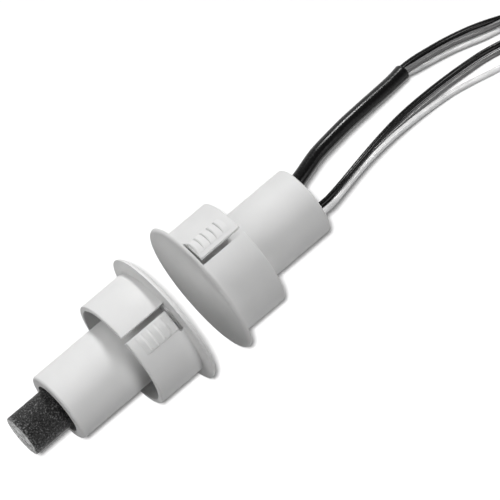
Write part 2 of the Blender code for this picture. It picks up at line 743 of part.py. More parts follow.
def make_switch_half(collection, cutters):
    housing = make_housing("switch_housing", 0.0, collection, cutters)
    lay_along_x(housing, (0.0, 0.0, 0.0))
    sleeved_route = whole_route(1, SLEEVED_ROUTE)
    bare_route = whole_route(-1, BARE_ROUTE)
    sleeved = {colour: lead_hole(sleeved_route, lane) for colour, lane in SLEEVED_LANES.items()}
    bare = {colour: lead_hole(bare_route, lane) for colour, lane in BARE_LANES.items()}
    make_potting([*sleeved.values(), *bare.values()], collection, cutters)
    sleeved_wiring = {"common": "grey", "open": "white", "closed": "black"}
    bare_wiring = {"common": "black", "open": "grey", "closed": "white"}
    make_reed(1, REED_SPACING / 2,
              {role: (colour, sleeved[colour]) for role, colour in sleeved_wiring.items()}, collection)
    make_reed(2, -REED_SPACING / 2,
              {role: (colour, bare[colour]) for role, colour in bare_wiring.items()}, collection)
    for colour, lane in SLEEVED_LANES.items():
        make_lead(f"lead_1_{colour}", sleeved_route, lane, colour, collection)
    for colour, lane in BARE_LANES.items():
        make_lead(f"lead_2_{colour}", bare_route, lane, colour, collection)
    make_sleeve(sleeved_route, collection)
    make_coil(collection)
    for number, angle in enumerate(TIE_ANGLES):
        make_tie(number + 1, angle, collection, cutters)


def main():
    clear_scene()
    contact = new_collection("door_contact")
    cutters = new_collection("cutters")
    make_switch_half(contact, cutters)
    make_magnet_half(contact, cutters)


main()
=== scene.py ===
import json
import math

import bmesh
import bpy
import numpy as np
from mathutils import Matrix, Vector, noise

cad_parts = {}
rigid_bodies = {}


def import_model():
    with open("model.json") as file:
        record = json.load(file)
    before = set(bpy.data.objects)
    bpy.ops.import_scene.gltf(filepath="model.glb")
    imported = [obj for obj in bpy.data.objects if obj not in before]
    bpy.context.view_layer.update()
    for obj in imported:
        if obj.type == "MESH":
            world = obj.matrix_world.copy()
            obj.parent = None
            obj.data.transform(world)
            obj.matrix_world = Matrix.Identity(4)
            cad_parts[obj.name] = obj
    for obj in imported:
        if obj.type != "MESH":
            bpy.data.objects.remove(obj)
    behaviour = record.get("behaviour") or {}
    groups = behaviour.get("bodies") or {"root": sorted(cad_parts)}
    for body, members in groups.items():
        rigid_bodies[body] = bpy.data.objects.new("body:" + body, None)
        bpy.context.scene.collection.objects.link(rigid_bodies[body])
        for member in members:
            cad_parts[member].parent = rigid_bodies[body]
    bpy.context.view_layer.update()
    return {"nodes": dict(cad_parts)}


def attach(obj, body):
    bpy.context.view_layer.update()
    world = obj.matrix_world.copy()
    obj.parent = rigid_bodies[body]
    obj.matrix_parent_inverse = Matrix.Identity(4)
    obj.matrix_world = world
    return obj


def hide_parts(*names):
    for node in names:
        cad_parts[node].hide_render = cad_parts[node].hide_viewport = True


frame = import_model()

MM = 0.001
NODES = frame["nodes"]

# Moulded housings, with the sizes of the solids. Both halves use one moulding
FLANGE_R = 15.5 * MM
FLANGE_THICKNESS = 2.0 * MM
FLANGE_DOME_RADIUS = 200.0 * MM
FLANGE_EDGE_RADIUS = 0.9 * MM
FLANGE_BEVEL_DEPTH = 0.6 * MM
FLANGE_REAR_EDGE = 0.15 * MM
COLLAR_R = 12.7 * MM
COLLAR_WALL = 1.1 * MM
COLLAR_LENGTH = 11.0 * MM
COLLAR_RIM_RADIUS = 0.3 * MM
TUBE_R = 8.0 * MM
BORE_R = 5.85 * MM
TUBE_LENGTH = 28.0 * MM
TUBE_END_RADIUS = 0.7 * MM
HOUSING_STEPS = 180
SHARP_DEGREES = 35.0

# Snap tabs: L-shaped slots in the collar, and a comb of saw teeth on each tab
TAB_SLOT_ANGLE = math.radians(-2.8)
MAGNET_TAB_TURN = math.radians(-3.4)
TAB_SPAN = math.radians(24.0)
AXIAL_SLOT_WIDTH = 1.45 * MM
FLANGE_SLOT_WIDTH = 0.97 * MM
SLOT_LEDGE = -0.25 * MM
SLOT_CLEARANCE = 0.3 * MM
SLOT_DEGREES_PER_STEP = 2
TOOTH_COUNT = 5
TOOTH_PITCH = 1.7 * MM
TOOTH_GROOVE = 0.2 * MM
TOOTH_START = 0.75 * MM
TOOTH_FOOT = 0.08 * MM
TOOTH_ROOT_DEPTH = 0.3 * MM
TOOTH_SLANT = 0.9 * MM
TOOTH_FAR_RISE = 0.25 * MM
TOOTH_RAMP_POWER = 1.3
TOOTH_ACROSS_STEPS = 24
TOOTH_ALONG_STEPS = 16

# A tooth's form: its height, how far its ridge bows along the collar, how long its near side
# takes to rise, the share of the height left at that side, its margin to the axial slot, its
# arc round the collar, the share of the height at its front, and where its crest lies
SWITCH_TOOTH = {
    "height": 0.45 * MM,
    "bow": 0.3 * MM,
    "rise": 0.3 * MM,
    "low_side": 0.25,
    "margin": 0.95 * MM,
    "arc": 3.8 * MM,
    "front": 0.5,
    "crest_at": 0.16,
}
MAGNET_TOOTH = {
    "height": 0.62 * MM,
    "bow": -0.12 * MM,
    "rise": 1.9 * MM,
    "low_side": 1.0,
    "margin": 0.2 * MM,
    "arc": 4.55 * MM,
    "front": 0.1,
    "crest_at": 0.36,
}
TALLEST_TOOTH = max(SWITCH_TOOTH["height"], MAGNET_TOOTH["height"])

# Bar magnet. Waves are in turns per metre, and heights and depths in millimetres
MAGNET_SEAT_X = -11.5 * MM
MAGNET_R = 4.75 * MM
MAGNET_LENGTH = 36.95 * MM
MAGNET_SIDE_SHIFT = 0.35 * MM
MAGNET_EDGE = 0.3 * MM
SEAT_GAP = 0.3 * MM
MAGNET_START_X = MAGNET_SEAT_X - SEAT_GAP
MAGNET_END_X = MAGNET_START_X - MAGNET_LENGTH
MAGNET_STEPS = 120
MAGNET_SECTIONS = 90
MAGNET_END_RINGS = (0.85, 0.7, 0.55, 0.4, 0.25, 0.1)
MAGNET_PLAIN_MIDDLE = 0.3
GRAIN_WAVES = 1400.0
GRAIN_HEIGHT = 0.03
LUMP_WAVES = 420.0
LUMP_HEIGHT = 0.035
SKIN_INSET = 0.05
CHIP_WAVES = 900.0
CHIP_DEPTH = 0.35
CHIP_REACH = 0.7 * MM
CHIP_PLACE = Vector((3.1, 0.7, 5.3))
GROUND_END_DEPTH = 0.05 * MM

# Leads and their stripped ends
LEAD_R = 0.65 * MM
LEAD_LENGTH = 0.300
LEAD_BEVEL_RESOLUTION = 6
POTTING_REAR = 27.2 * MM
TIP_LENGTH = 5.0 * MM
STRAND_COUNT = 7
STRAND_R = 0.10 * MM
STRAND_RING_R = 0.19 * MM
STRAND_STEPS = 10
STRAND_SIDES = 8
STRAND_TWIST = 2.6

# Shrink sleeve
SLEEVE_R = 1.675 * MM
SLEEVE_WALL = 0.175 * MM
SLEEVE_BEVEL = 0.07 * MM
SLEEVE_SIDES = 40

# The sleeve's lengthwise form and drawn surface, in millimetres
SLEEVE_SPACING = 0.9
SLEEVE_START_GAP = 0.3
SLEEVE_FIRST_STEP = 0.4
SLEEVE_DRAWN_IN = 0.07
SLEEVE_BULGE = 0.05
SLEEVE_BULGE_TURN = 0.4
SLEEVE_UNEVENNESS = 0.02
SLEEVE_WAVES = 0.35
SLEEVE_FLARE = 0.16
SLEEVE_FLARE_FADE = 1.6
SLEEVE_FLARE_REACH = 4.0

# Routes of the leads, in millimetres
LEAD_START = 22.7
LEAD_SPACING = 2.4
GROUP_SIDE = 3.75
GROUP_RISE = 0.2

# Stations behind the tube's end, as in the solids: the middle of a group of three leads, and
# each lead's place to the left of it and above it
SLEEVED_ROUTE = [
    (3.5, 4.5, 0.15), (8.3, 5.8, -0.1), (13.0, 6.5, -0.6), (17.8, 7.1, -1.3),
    (22.5, 7.5, -2.1), (27.2, 7.9, -3.1), (31.6, 8.3, -4.1), (35.6, 8.9, -5.2),
    (39.0, 8.9, -6.4), (43.2, 8.7, -8.1), (49.4, 8.1, -10.4), (57.0, 6.4, -12.4),
    (65.5, 3.0, -13.3), (73.7, -3.0, -13.3), (81.9, -10.7, -13.24),
]
BARE_ROUTE = [
    (3.5, -3.7, -0.25), (8.3, -2.75, -0.5), (15.3, -1.3, -1.9), (22.6, 0.1, -4.2),
    (29.0, 1.0, -6.4), (35.5, 1.6, -8.8), (42.0, 1.9, -10.9), (48.3, 1.8, -12.5),
    (55.0, 0.9, -13.5), (63.7, -1.0, -13.5), (72.5, -4.6, -13.3), (81.9, -10.7, -13.24),
]
SLEEVE_STATIONS = 10
SLEEVED_LANES = {
    "black": [(0.78, 0.0)] * SLEEVE_STATIONS + [
        (1.0, 0.1), (1.1, 0.2), (1.3, 0.1), (1.5, 0.0), (1.45, -0.4), (1.42, -0.71),
        (1.42, -0.71)],
    "grey": [(-0.39, 0.68)] * SLEEVE_STATIONS + [
        (-0.35, 0.4), (-0.25, 0.45), (-0.1, 0.4), (0.0, 0.2), (0.75, 0.8), (1.42, 0.71),
        (1.42, 0.71)],
    "white": [(-0.39, -0.68)] * SLEEVE_STATIONS + [
        (-0.75, -0.95), (-1.0, -0.7), (-1.3, -0.3), (-1.45, -0.2), (-0.1, -0.5), (0.0, -0.71),
        (0.0, -0.71)],
}
STRAIGHT_STATIONS = 3
BARE_LANES = {
    "black": [(0.72, 0.5)] * STRAIGHT_STATIONS + [
        (0.5, 0.45), (0.6, 0.4), (0.8, 0.5), (1.1, 0.3), (1.25, 0.3), (1.35, 0.2), (1.45, 0.2),
        (1.8, 0.1), (1.3, 0.2), (0.5, 0.6), (0.0, 0.71)],
    "grey": [(0.05, -0.98)] * STRAIGHT_STATIONS + [
        (0.8, -0.95), (0.6, -1.0), (0.15, -0.75), (0.0, -0.5), (-0.05, -0.2), (0.0, -0.1),
        (0.05, -0.2), (0.4, -0.3), (-0.2, 0.0), (-1.0, 0.5), (-1.42, 0.71)],
    "white": [(-0.72, 0.3)] * STRAIGHT_STATIONS + [
        (-0.6, -0.4), (-0.6, -0.25), (-0.95, 0.05), (-1.25, 0.1), (-1.45, -0.2), (-1.75, -0.4),
        (-2.4, -0.6), (-2.75, -0.7), (-2.3, -0.7), (-1.8, -0.7), (-1.42, -0.71)],
}

# Coil of the spare length, in millimetres and degrees. Between the two angles of change the
# leads step inwards, so that the second turn lies inside the first
COIL_CENTRE = Vector((120.7, 8.0))
COIL_RADIUS = 19.5
COIL_STEP = 4.26
COIL_MIDDLE_Z = -13.24
COIL_ENTRY_ANGLE = -120.0
COIL_SETTLE = 24.0
COIL_CHANGE_START = 300.0
COIL_CHANGE_END = 360.0
COIL_DEGREES_PER_POINT = 9.0

# Camera
AZIMUTH = math.radians(-41.7975)
ELEVATION = math.radians(70.6145)
ROLL = math.radians(-0.0435)
DISTANCE = 0.8076
CAMERA_RIGHT = 9.4855 * MM
CAMERA_UP = 7.2467 * MM
PIXELS_PER_METRE = 4893.1
PICTURE_SIZE = 500
SENSOR = 36.0
CLIP_START = 0.05
CLIP_END = 10.0

# Floor and world. The floor lies just under the flanges. Where it and the world are seen, they
# are a white background, and where they only light the object, they are dim
FLOOR_Z = -FLANGE_R - 0.05 * MM
FLOOR_HALF_SIDE = 3.0
FLOOR_WHITE = 0.95
FLOOR_GLOW = 0.15
FLOOR_BOUNCE = 0.12
WORLD_LEVEL = 0.06
BACKDROP_LOW = 0.2
BACKDROP_HIGH = 0.45

# Lamps: direction, distance and size in metres, and power in watts
SHADOW_LAMP = {"distance": 1.6, "size": 0.13, "watts": 24.5}
SHADOW_TILT = math.radians(3.2)
SHADOW_SIDE = (-0.62, 0.78)
LEAD_LAMP = {"direction": (0.75, -0.10, 0.65), "distance": 1.2, "size": 0.35, "watts": 6.0}
END_LAMP = {"direction": (-0.70, 0.20, 0.68), "distance": 0.45, "size": 0.16, "watts": 0.22}
OBJECT_LAMPS = {
    "top_lamp": {"direction": (0.0, 0.2, 0.98), "distance": 1.2, "size": 0.5, "watts": 1.5},
    "key_lamp": {"direction": (0.46, 0.75, 0.48), "distance": 1.2, "size": 0.25, "watts": 9.3},
    "left_lamp": {"direction": (-0.67, 0.24, 0.71), "distance": 1.2, "size": 1.0, "watts": 3.6},
    "right_lamp": {"direction": (0.33, -0.77, 0.55), "distance": 1.2, "size": 0.6, "watts": 4.8},
}


# Camera

def view_axes():
    forward = Vector((
        -math.sin(AZIMUTH) * math.cos(ELEVATION), math.cos(AZIMUTH) * math.cos(ELEVATION),
        -math.sin(ELEVATION)))
    right = Vector((math.cos(AZIMUTH), math.sin(AZIMUTH), 0.0))
    up = right.cross(forward)
    turned_right = math.cos(ROLL) * right + math.sin(ROLL) * up
    turned_up = math.cos(ROLL) * up - math.sin(ROLL) * right
    return forward, turned_right, turned_up


def make_camera():
    forward, right, up = view_axes()
    data = bpy.data.cameras.new("camera")
    data.sensor_width = SENSOR
    data.lens = PIXELS_PER_METRE * DISTANCE * SENSOR / PICTURE_SIZE
    data.clip_start = CLIP_START
    data.clip_end = CLIP_END
    camera = add_object("camera", data)
    place = -DISTANCE * forward + CAMERA_RIGHT * right + CAMERA_UP * up
    turn = Matrix((right, up, -forward)).transposed().to_4x4()
    camera.matrix_world = Matrix.Translation(place) @ turn
    bpy.context.scene.camera = camera


# Routes of the leads

def smooth_step(value):
    value = min(1.0, max(0.0, value))
    return value * value * (3 - 2 * value)


def read_curve(stations, spacing):
    """Points on a smooth curve through the stations, about as far apart as the spacing."""
    knots = np.array(stations, dtype=float)
    first = 2 * knots[0] - knots[1]
    last = 2 * knots[-1] - knots[-2]
    padded = np.vstack([first, knots, last])
    points = [knots[0]]
    for index in range(len(knots) - 1):
        p0, p1, p2, p3 = padded[index:index + 4]
        count = max(1, round(float(np.linalg.norm((p2 - p1)[:3])) / spacing))
        for step in range(1, count + 1):
            t = step / count
            point = 2 * p1 + (p2 - p0) * t
            point = point + (2 * p0 - 5 * p1 + 4 * p2 - p3) * t * t
            point = point + (3 * p1 - p0 - 3 * p2 + p3) * t ** 3
            points.append(point / 2)
    return np.array(points)


def side_axes(line):
    """Unit vectors to the left of a line and above it, at each of its points."""
    tangent = np.gradient(line, axis=0)
    tangent /= np.linalg.norm(tangent, axis=1)[:, None]
    left = np.cross([0.0, 0.0, 1.0], tangent)
    left /= np.linalg.norm(left, axis=1)[:, None]
    return left, np.cross(tangent, left)


def whole_route(side, beyond):
    """A group's middle line: straight out of the tube on its side, then the stations beyond."""
    middle = side * GROUP_SIDE, side * GROUP_RISE
    tube_end = TUBE_LENGTH / MM
    inside = [(LEAD_START, *middle), (tube_end, *middle)]
    return inside + [(tube_end + x, y, z) for x, y, z in beyond]


def lane_points(route, lane, spacing):
    """A line that keeps the lane's places beside a group's middle line."""
    stations = [(*middle, *aside) for middle, aside in zip(route, lane)]
    read = read_curve(stations, spacing)
    middle = read[:, :3]
    left, up = side_axes(middle)
    return middle + left * read[:, 3:4] + up * read[:, 4:5]


def coil_point(degrees, side, rise, entry_radius):
    """A point of a lead in the coil, after that many degrees of turn from where it comes in."""
    angle = math.radians(COIL_ENTRY_ANGLE + degrees)
    settled = smooth_step(degrees / COIL_SETTLE)
    radius = entry_radius + (COIL_RADIUS - side - entry_radius) * settled
    change = (degrees - COIL_CHANGE_START) / (COIL_CHANGE_END - COIL_CHANGE_START)
    radius -= COIL_STEP * smooth_step(change)
    return np.array([
        COIL_CENTRE.x + radius * math.cos(angle), COIL_CENTRE.y + radius * math.sin(angle),
        COIL_MIDDLE_Z + rise])


def cord_points(route, lane):
    """A lead's whole line, in metres: its route, then the turns that its length gives."""
    points = list(lane_points(route, lane, LEAD_SPACING))
    end = points[-1]
    entry_radius = math.hypot(end[0] - COIL_CENTRE.x, end[1] - COIL_CENTRE.y)
    side, rise = lane[-1]
    length = sum(np.linalg.norm(b - a) for a, b in zip(points, points[1:]))
    whole_length = LEAD_LENGTH / MM
    degrees = 0.0
    while length < whole_length:
        degrees += COIL_DEGREES_PER_POINT
        following = coil_point(degrees, side, rise, entry_radius)
        step = np.linalg.norm(following - points[-1])
        if length + step > whole_length:
            share = (whole_length - length) / step
            following = points[-1] + (following - points[-1]) * share
        points.append(following)
        length += step
    return [Vector(point) * MM for point in points]


# Materials

def new_material(name):
    material = bpy.data.materials.new(name)
    material.use_nodes = True
    tree = material.node_tree
    shader = tree.nodes["Principled BSDF"]
    return material, tree, shader


def grey(value):
    return (value, value, value)


def node(tree, kind, **values):
    """A new node, with these settings or socket values."""
    made = tree.nodes.new(kind)
    for key, value in values.items():
        if key in made.inputs:
            made.inputs[key].default_value = value
        else:
            setattr(made, key, value)
    return made


def noise_field(tree, scale, detail=3.0, roughness=0.5, stretch=None):
    """Noise over the object's own coordinates, in metres. scale is in waves per metre."""
    place = node(tree, "ShaderNodeTexCoord")
    source = place.outputs["Object"]
    if stretch is not None:
        mapping = node(tree, "ShaderNodeMapping", Scale=stretch)
        tree.links.new(source, mapping.inputs["Vector"])
        source = mapping.outputs["Vector"]
    field = node(tree, "ShaderNodeTexNoise", Scale=scale, Detail=detail, Roughness=roughness)
    tree.links.new(source, field.inputs["Vector"])
    return field.outputs["Fac"]


def ramp(tree, source, stops):
    """A colour that follows the source through stops of (position, colour)."""
    made = node(tree, "ShaderNodeValToRGB")
    elements = made.color_ramp.elements
    while len(elements) < len(stops):
        elements.new(0.5)
    for element, (position, colour) in zip(elements, stops):
        element.position = position
        element.color = (*colour, 1.0)
    tree.links.new(source, made.inputs["Fac"])
    return made.outputs["Color"]


def spread(tree, source, low, high, from_low=0.3, from_high=0.7):
    """The source's range from_low to from_high, stretched to low to high."""
    made = node(tree, "ShaderNodeMapRange")
    made.inputs["From Min"].default_value = from_low
    made.inputs["From Max"].default_value = from_high
    made.inputs["To Min"].default_value = low
    made.inputs["To Max"].default_value = high
    tree.links.new(source, made.inputs["Value"])
    return made.outputs["Result"]


def combine(tree, operation, first, second):
    made = node(tree, "ShaderNodeMath", operation=operation)
    tree.links.new(first, made.inputs[0])
    tree.links.new(second, made.inputs[1])
    return made.outputs[0]


def add_bump(tree, shader, source, distance, strength=1.0, below=None):
    made = node(tree, "ShaderNodeBump", Distance=distance, Strength=strength)
    tree.links.new(source, made.inputs["Height"])
    if below is not None:
        tree.links.new(below.outputs["Normal"], made.inputs["Normal"])
    tree.links.new(made.outputs["Normal"], shader.inputs["Normal"])
    return made


def set_roughness(tree, shader, source, smoothest, roughest):
    tree.links.new(spread(tree, source, smoothest, roughest), shader.inputs["Roughness"])


def moulded_plastic(name, value, roughness):
    """White moulding: faint cloudiness, a fine moulded grain and soft handling marks."""
    material, tree, shader = new_material(name)
    clouds = noise_field(tree, scale=160.0, detail=4.0)
    colour = ramp(tree, clouds, [
        (0.3, (value * 0.965, value * 0.965, value * 0.96)),
        (0.7, (value, value, value * 0.995))])
    tree.links.new(colour, shader.inputs["Base Color"])
    marks = noise_field(tree, scale=700.0, detail=5.0, roughness=0.6)
    set_roughness(tree, shader, marks, roughness - 0.07, roughness + 0.08)
    waves = add_bump(tree, shader, noise_field(tree, 220.0, 2.0), 0.04 * MM, strength=0.5)
    grain = noise_field(tree, 5200.0, 2.0)
    add_bump(tree, shader, grain, 0.004 * MM, strength=0.5, below=waves)
    shader.inputs["Specular IOR Level"].default_value = 0.4
    return material


def cast_magnet(name):
    """Dark cast alloy with a sandy skin, light grains and a worn edge at its ground end."""
    material, tree, shader = new_material(name)
    grain = noise_field(tree, scale=2700.0, detail=2.0, roughness=0.6)
    place = node(tree, "ShaderNodeTexCoord")
    split = node(tree, "ShaderNodeSeparateXYZ")
    tree.links.new(place.outputs["Object"], split.inputs["Vector"])
    worn = spread(tree, split.outputs["X"], 0.18, 0.0, MAGNET_END_X, MAGNET_END_X + 1.1 * MM)
    colour = ramp(tree, combine(tree, "ADD", grain, worn), [
        (0.38, grey(0.003)), (0.50, grey(0.016)), (0.60, grey(0.05)), (0.74, grey(0.22))])
    tree.links.new(colour, shader.inputs["Base Color"])
    set_roughness(tree, shader, grain, 0.75, 0.45)
    shader.inputs["Specular IOR Level"].default_value = 0.3
    lumps = noise_field(tree, scale=900.0, detail=4.0, roughness=0.6)
    coarse = add_bump(tree, shader, lumps, 0.12 * MM, strength=0.8)
    add_bump(tree, shader, grain, 0.08 * MM, below=coarse)
    return material


def ground_magnet(name):
    """The magnet's ground end: lighter, with grinding marks and pits."""
    material, tree, shader = new_material(name)
    marks = noise_field(tree, 2100.0, detail=2.0, roughness=0.6, stretch=(1.0, 0.5, 1.0))
    colour = ramp(tree, marks, [
        (0.34, grey(0.06)), (0.45, grey(0.36)), (0.55, grey(0.66)), (0.66, grey(0.90))])
    tree.links.new(colour, shader.inputs["Base Color"])
    shader.inputs["Metallic"].default_value = 0.15
    set_roughness(tree, shader, marks, 0.65, 0.4)
    add_bump(tree, shader, marks, 0.12 * MM)
    return material


def insulation(name, value, roughness, gloss=0.5, coat=0.0):
    """Extruded insulation: slightly cloudy, with fine scuffs and a soft gloss."""
    material, tree, shader = new_material(name)
    clouds = noise_field(tree, scale=350.0, detail=4.0)
    colour = ramp(tree, clouds, [(0.3, grey(value * 0.85)), (0.7, grey(value * 1.08))])
    tree.links.new(colour, shader.inputs["Base Color"])
    scuffs = noise_field(tree, scale=1800.0, detail=4.0, roughness=0.6)
    set_roughness(tree, shader, scuffs, roughness - 0.06, roughness + 0.10)
    shader.inputs["Specular IOR Level"].default_value = gloss
    shader.inputs["Coat Weight"].default_value = coat
    shader.inputs["Coat Roughness"].default_value = 0.12
    add_bump(tree, shader, noise_field(tree, 1500.0), 0.02 * MM, strength=0.6)
    return material


def metal(name, colour, roughness, grain_scale=3000.0):
    material, tree, shader = new_material(name)
    grain = noise_field(tree, grain_scale, roughness=0.6)
    darker = tuple(part * 0.8 for part in colour)
    tree.links.new(ramp(tree, grain, [(0.3, darker), (0.7, colour)]), shader.inputs["Base Color"])
    shader.inputs["Metallic"].default_value = 1.0
    set_roughness(tree, shader, grain, roughness - 0.08, roughness + 0.08)
    add_bump(tree, shader, grain, 0.01 * MM, strength=0.5)
    return material


def clear_glass(name):
    material, tree, shader = new_material(name)
    waves = noise_field(tree, scale=600.0, detail=2.0)
    colour = ramp(tree, waves, [(0.3, (0.72, 0.86, 0.76)), (0.7, (0.82, 0.92, 0.85))])
    tree.links.new(colour, shader.inputs["Base Color"])
    shader.inputs["Transmission Weight"].default_value = 1.0
    shader.inputs["Roughness"].default_value = 0.05
    add_bump(tree, shader, waves, 0.01 * MM, strength=0.3)
    return material


def resin(name):
    """Cured potting compound: dark, cloudy and unevenly glossy."""
    material, tree, shader = new_material(name)
    clouds = noise_field(tree, scale=700.0, detail=4.0)
    colour = ramp(tree, clouds, [(0.3, (0.018, 0.018, 0.020)), (0.7, (0.045, 0.045, 0.048))])
    tree.links.new(colour, shader.inputs["Base Color"])
    set_roughness(tree, shader, clouds, 0.22, 0.42)
    add_bump(tree, shader, noise_field(tree, 420.0), 0.2 * MM, strength=0.6)
    return material


def set_material(obj, material):
    obj.data.materials.clear()
    obj.data.materials.append(material)


# Mesh helpers

def add_object(name, data):
    obj = bpy.data.objects.new(name, data)
    bpy.context.scene.collection.objects.link(obj)
    return obj


def mesh_object(name, bm):
    bmesh.ops.recalc_face_normals(bm, faces=bm.faces)
    if bm.calc_volume(signed=True) < 0.0:
        bmesh.ops.reverse_faces(bm, faces=bm.faces)
    mesh = bpy.data.meshes.new(name)
    bm.to_mesh(mesh)
    bm.free()
    return add_object(name, mesh)


def arc_points(centre, radius, start_degrees, end_degrees, count):
    points = []
    for index in range(count + 1):
        angle = math.radians(start_degrees + (end_degrees - start_degrees) * index / count)
        points.append((centre[0] + radius * math.cos(angle), centre[1] + radius * math.sin(angle)))
    return points


def circle_points(centre, side, up, radius, count):
    points = []
    for index in range(count):
        angle = 2 * math.pi * index / count
        points.append(centre + (side * math.cos(angle) + up * math.sin(angle)) * radius)
    return points


def join_rings(bm, rings):
    """Faces between each ring of vertices and the next."""
    for ring, following in zip(rings, rings[1:]):
        for index in range(len(ring)):
            after = (index + 1) % len(ring)
            bm.faces.new((ring[index], ring[after], following[after], following[index]))


def turned_solid(name, outline, steps):
    """A solid turned about Z from an outline of (radius, height) points, from axis to axis."""
    bm = bmesh.new()
    rings = []
    for radius, height in outline:
        count = steps if radius > 0.0 else 1
        ring = []
        for index in range(count):
            angle = 2 * math.pi * index / count
            ring.append(bm.verts.new((radius * math.cos(angle), radius * math.sin(angle), height)))
        rings.append(ring)
    for ring, following in zip(rings, rings[1:]):
        for index in range(steps):
            after = (index + 1) % steps
            corners = [ring[index % len(ring)], ring[after % len(ring)],
                       following[after % len(following)], following[index % len(following)]]
            bm.faces.new(list(dict.fromkeys(corners)))
    return mesh_object(name, bm)


def sector(name, outline, start_angle, span, steps):
    """A closed part of a turned ring."""
    bm = bmesh.new()
    sections = []
    for index in range(steps + 1):
        angle = start_angle + span * index / steps
        sections.append([
            bm.verts.new((r * math.cos(angle), r * math.sin(angle), z)) for r, z in outline])
    join_rings(bm, sections)
    bm.faces.new(sections[0])
    bm.faces.new(sections[-1])
    return mesh_object(name, bm)


def apply_modifiers(obj):
    depsgraph = bpy.context.evaluated_depsgraph_get()
    mesh = bpy.data.meshes.new_from_object(obj.evaluated_get(depsgraph), depsgraph=depsgraph)
    obj.modifiers.clear()
    obj.data = mesh


def apply_boolean(obj, other, operation):
    boolean = obj.modifiers.new("cut", "BOOLEAN")
    boolean.operation = operation
    boolean.solver = "EXACT"
    boolean.object = other
    apply_modifiers(obj)
    bpy.data.objects.remove(other)


def shade(obj, sharp_degrees=SHARP_DEGREES):
    obj.data.shade_smooth()
    obj.data.set_sharp_from_angle(angle=math.radians(sharp_degrees))


def lay_along_x(obj, x, y=0.0, towards=1):
    """Turns a piece that was made along Z to lie along X, or along -X where towards is -1."""
    turn = Matrix.Rotation(towards * math.pi / 2, 4, "Y")
    obj.data.transform(Matrix.Translation((x, y, 0.0)) @ turn)


# Moulded housings

def housing_outline():
    """Half the moulding's section: domed flange, collar, gap, tube and bore."""
    edge = FLANGE_EDGE_RADIUS
    rim = COLLAR_RIM_RADIUS
    end = TUBE_END_RADIUS
    collar_inner = COLLAR_R - COLLAR_WALL
    dome_centre = FLANGE_DOME_RADIUS - FLANGE_THICKNESS
    dome_span = math.degrees(math.asin((FLANGE_R - edge) / (FLANGE_DOME_RADIUS - edge)))
    edge_height = dome_centre - (FLANGE_DOME_RADIUS - edge) * math.cos(math.radians(dome_span))
    dome = arc_points((0.0, dome_centre), FLANGE_DOME_RADIUS, -90, dome_span - 90, count=14)
    flange_edge = arc_points((FLANGE_R - edge, edge_height), edge, dome_span - 90, 0, count=10)
    outline = [(0.0, -FLANGE_THICKNESS)] + dome[1:] + flange_edge[1:]
    outline += [(FLANGE_R - FLANGE_REAR_EDGE, -FLANGE_BEVEL_DEPTH), (COLLAR_R, 0.0)]
    outline += arc_points((COLLAR_R - rim, COLLAR_LENGTH - rim), rim, 0, 90, count=5)
    outline += [(collar_inner, COLLAR_LENGTH), (collar_inner, 0.0), (TUBE_R, 0.0)]
    outline += arc_points((TUBE_R - end, TUBE_LENGTH - end), end, 0, 90, count=7)
    outline += [(BORE_R, TUBE_LENGTH), (BORE_R, 0.0), (0.0, 0.0)]
    return outline


def cut_slot(housing, top, start_angle, span):
    """Cuts a slot through the collar's wall, from the flange's side up to top."""
    inner = COLLAR_R - COLLAR_WALL - SLOT_CLEARANCE
    outer = COLLAR_R + TALLEST_TOOTH + SLOT_CLEARANCE
    outline = [(inner, SLOT_LEDGE), (outer, SLOT_LEDGE), (outer, top), (inner, top)]
    steps = max(2, round(math.degrees(span) / SLOT_DEGREES_PER_STEP))
    cutter = sector("slot_cutter", outline, start_angle, span, steps)
    apply_boolean(housing, cutter, "DIFFERENCE")


def tooth_height(across, along, form):
    """Height of a tooth over the collar, across its arc and along its pitch, both 0 to 1."""
    lean = form["low_side"] + (1.0 - form["low_side"]) * across
    crest = form["front"] + (1.0 - form["front"]) * smooth_step(along / form["crest_at"])
    ramp_down = (1.0 - along ** TOOTH_RAMP_POWER) * crest
    side = (across * form["arc"] - TOOTH_SLANT * along) / form["rise"]
    near_side = min(1.0, max(0.0, side))
    far_side = smooth_step((1.0 - across) * form["arc"] / TOOTH_FAR_RISE)
    return TOOTH_FOOT + (form["height"] - TOOTH_FOOT) * lean * ramp_down * near_side * far_side


def make_tooth(start, start_angle, form):
    """One saw tooth: a bowed ridge near the flange that ramps down to the next tooth."""
    span = form["arc"] / COLLAR_R
    length = TOOTH_PITCH - TOOTH_GROOVE
    root = COLLAR_R - TOOTH_ROOT_DEPTH
    bm = bmesh.new()
    sections = []
    for along in range(TOOTH_ALONG_STEPS + 1):
        section = []
        for across in range(TOOTH_ACROSS_STEPS + 1):
            share = across / TOOTH_ACROSS_STEPS
            angle = start_angle + span * (1.0 - share)
            bowed = form["bow"] * (1.0 - (2.0 * share - 1.0) ** 2)
            z = start + length * along / TOOTH_ALONG_STEPS + bowed
            radius = COLLAR_R + tooth_height(share, along / TOOTH_ALONG_STEPS, form)
            section.append(bm.verts.new((radius * math.cos(angle), radius * math.sin(angle), z)))
        for angle in (start_angle, start_angle + span):
            z = start + length * along / TOOTH_ALONG_STEPS
            section.append(bm.verts.new((root * math.cos(angle), root * math.sin(angle), z)))
        sections.append(section)
    join_rings(bm, sections)
    bm.faces.new(sections[0])
    bm.faces.new(sections[-1])
    bmesh.ops.triangulate(bm, faces=[face for face in bm.faces if len(face.verts) > 4])
    return mesh_object("tooth", bm)


